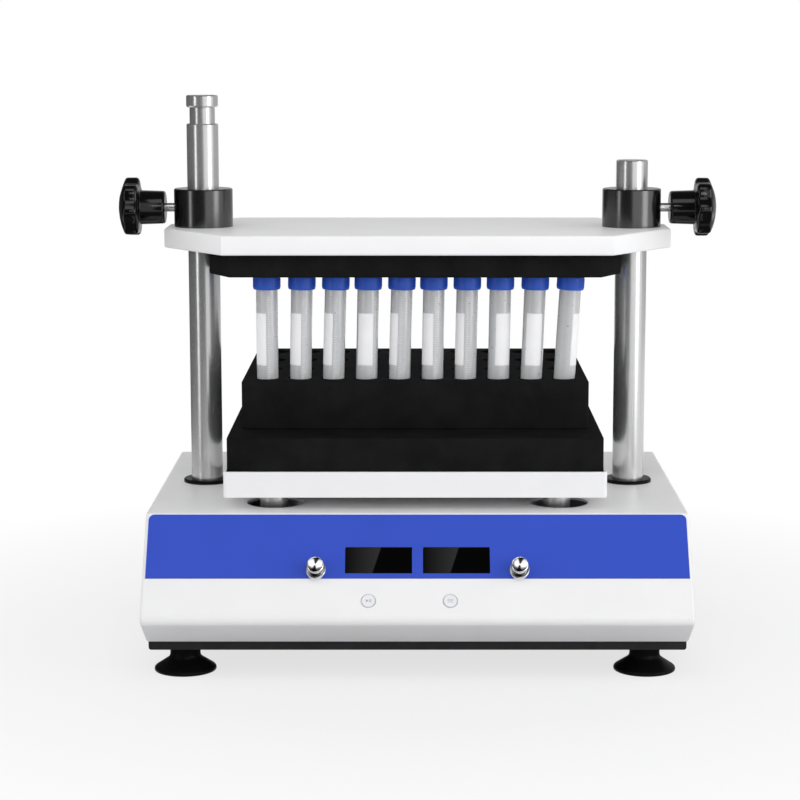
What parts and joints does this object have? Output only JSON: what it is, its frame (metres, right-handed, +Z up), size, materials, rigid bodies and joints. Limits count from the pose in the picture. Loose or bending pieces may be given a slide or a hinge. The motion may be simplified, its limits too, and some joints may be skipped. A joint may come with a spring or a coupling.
{
  "type": "multi-tube vortex mixer",
  "caption": "Bench mixer with a wedge-fronted base, an orbiting foam rack of capped tubes, and a foam-lined pressure plate clamped to steel columns by lobed knobs.",
  "frame": {"origin": "on the floor under the middle of the base", "axes": "+Z up, +X to the right seen from the front, -Y to the front"},
  "size_m": [0.48, 0.3212, 0.439],
  "materials": {
    "white_paint": "smooth white powder coat",
    "black_plate": "satin black",
    "black_rubber": "smooth moulded rubber",
    "screw_steel": "plated",
    "blue_film": "printed film",
    "dark_window": "clear dark window",
    "dark_plastic": "moulded",
    "circuit_board": "solder mask",
    "brushed_steel": "fine turned",
    "chrome_knob": "spun face",
    "machined_steel": "machined",
    "grey_paint": "satin",
    "brass": "machined",
    "black_moulding": "satin moulded",
    "black_foam": "closed-cell foam",
    "tube_plastic": "translucent moulded",
    "blue_plastic": "moulded",
    "white_plastic": "moulded",
    "machined_aluminium": "machined",
    "counterweight_iron": "machined"
  },
  "bodies": {
    "base": {"housing": "white_paint", "bottom_plate": "black_plate", "suction_feet": "black_rubber", "foot_screws": "screw_steel", "housing_screws": "screw_steel", "front_overlay": "blue_film", "display_windows": "dark_window", "display_modules": "dark_plastic", "control_board": "circuit_board", "board_standoffs": "screw_steel", "encoder_bodies": "machined_steel", "button_switches": "dark_plastic", "column_left": "brushed_steel", "column_right": "brushed_steel", "column_ring_left": "black_rubber", "column_ring_right": "black_rubber", "column_screws": "screw_steel", "motor": "grey_paint", "idler_blocks": "grey_paint", "power_supply": "grey_paint", "power_inlet": "dark_plastic", "inlet_pins": "brass", "switch_body": "dark_plastic"},
    "press": {"pressure_plate": "white_paint", "upper_foam_pad": "black_foam", "collar_left": "black_moulding", "collar_right": "black_moulding", "collar_screws": "screw_steel"},
    "clamp_end_left": {"clamp_tip_left": "brass"},
    "clamp_left": {"clamp_stud_left": "machined_steel", "clamp_knob_left": "black_moulding"},
    "clamp_end_right": {"clamp_tip_right": "brass"},
    "clamp_right": {"clamp_stud_right": "machined_steel", "clamp_knob_right": "black_moulding"},
    "encoder_left": {"encoder_knob_left": "chrome_knob", "encoder_shaft_left": "machined_steel"},
    "encoder_right": {"encoder_knob_right": "chrome_knob", "encoder_shaft_right": "machined_steel"},
    "start_key": {"start_button": "white_plastic"},
    "mode_key": {"mode_button": "white_plastic"},
    "rocker": {"power_rocker": "dark_plastic"},
    "drive": {"motor_spindle": "machined_steel", "eccentric_hub": "machined_aluminium", "counterweight": "counterweight_iron"},
    "carrier": {"carrier_plate": "machined_aluminium", "drive_bearing": "machined_steel", "idler_bearings": "machined_steel", "tray_posts": "brushed_steel", "post_screws": "screw_steel", "tray_screws": "screw_steel", "tray_pan": "white_paint", "lower_foam_block": "black_foam", "foam_rack": "black_foam", "tube_bodies": "tube_plastic", "tube_caps": "blue_plastic"},
    "idler_front_left": {"idler_crank_front_left": "machined_steel"},
    "idler_front_right": {"idler_crank_front_right": "machined_steel"},
    "idler_rear_left": {"idler_crank_rear_left": "machined_steel"},
    "idler_rear_right": {"idler_crank_rear_right": "machined_steel"}
  },
  "joints": [
    {"name": "press_lift", "type": "slide", "parent": "base", "child": "press", "axis": [0, 0, 1], "range_m": [0, 0.0725]},
    {"name": "clamp_feed_left", "type": "slide", "parent": "press", "child": "clamp_end_left", "axis": [-1, 0, 0], "range_m": [0, 0.0025]},
    {"name": "clamp_turn_left", "type": "hinge", "parent": "clamp_end_left", "child": "clamp_left", "pos_m": [-0.1722, 0.02375, 0.34945], "axis": [-1, 0, 0], "range_deg": [0, 722]},
    {"name": "clamp_feed_right", "type": "slide", "parent": "press", "child": "clamp_end_right", "axis": [1, 0, 0], "range_m": [0, 0.0025]},
    {"name": "clamp_turn_right", "type": "hinge", "parent": "clamp_end_right", "child": "clamp_right", "pos_m": [0.1722, 0.02375, 0.34945], "axis": [1, 0, 0], "range_deg": [0, 722]},
    {"name": "encoder_turn_left", "type": "hinge", "parent": "base", "child": "encoder_left", "pos_m": [-0.0767, -0.13651, 0.0872], "axis": [0, -0.7947, 0.607], "continuous": true},
    {"name": "encoder_turn_right", "type": "hinge", "parent": "base", "child": "encoder_right", "pos_m": [0.0767, -0.13651, 0.0872], "axis": [0, -0.7947, 0.607], "continuous": true},
    {"name": "start_press", "type": "slide", "parent": "base", "child": "start_key", "axis": [0, 0.7947, -0.607], "range_m": [0, 0.0008], "stiffness_N_per_m": 1500},
    {"name": "mode_press", "type": "slide", "parent": "base", "child": "mode_key", "axis": [0, 0.7947, -0.607], "range_m": [0, 0.0008], "stiffness_N_per_m": 1500},
    {"name": "rocker_tilt", "type": "hinge", "parent": "base", "child": "rocker", "pos_m": [-0.084, 0.15575, 0.0685], "axis": [-1, 0, 0], "range_deg": [0, 16]},
    {"name": "drive_spin", "type": "hinge", "parent": "base", "child": "drive", "pos_m": [0, 0.02375, 0.08], "axis": [0, 0, 1], "continuous": true},
    {"name": "carrier_hold", "type": "hinge", "parent": "drive", "child": "carrier", "pos_m": [-0.0018, 0.02375, 0.0995], "axis": [0, 0, 1], "continuous": true},
    {"name": "idler_spin_front_left", "type": "hinge", "parent": "base", "child": "idler_front_left", "pos_m": [-0.08, -0.03425, 0.06], "axis": [0, 0, 1], "continuous": true},
    {"name": "idler_spin_front_right", "type": "hinge", "parent": "base", "child": "idler_front_right", "pos_m": [0.08, -0.03425, 0.06], "axis": [0, 0, 1], "continuous": true},
    {"name": "idler_spin_rear_left", "type": "hinge", "parent": "base", "child": "idler_rear_left", "pos_m": [-0.08, 0.08175, 0.06], "axis": [0, 0, 1], "continuous": true},
    {"name": "idler_spin_rear_right", "type": "hinge", "parent": "base", "child": "idler_rear_right", "pos_m": [0.08, 0.08175, 0.06], "axis": [0, 0, 1], "continuous": true}
  ],
  "couplings": [
    {"joint": "clamp_turn_left", "follows": "clamp_feed_left", "rad_per_m": 5026.5},
    {"joint": "clamp_turn_right", "follows": "clamp_feed_right", "rad_per_m": 5026.5},
    {"joint": "drive_spin", "follows": "carrier_hold", "ratio": -1},
    {"joint": "idler_spin_front_left", "follows": "carrier_hold", "ratio": -1},
    {"joint": "idler_spin_front_right", "follows": "carrier_hold", "ratio": -1},
    {"joint": "idler_spin_rear_left", "follows": "carrier_hold", "ratio": -1},
    {"joint": "idler_spin_rear_right", "follows": "carrier_hold", "ratio": -1}
  ]
}
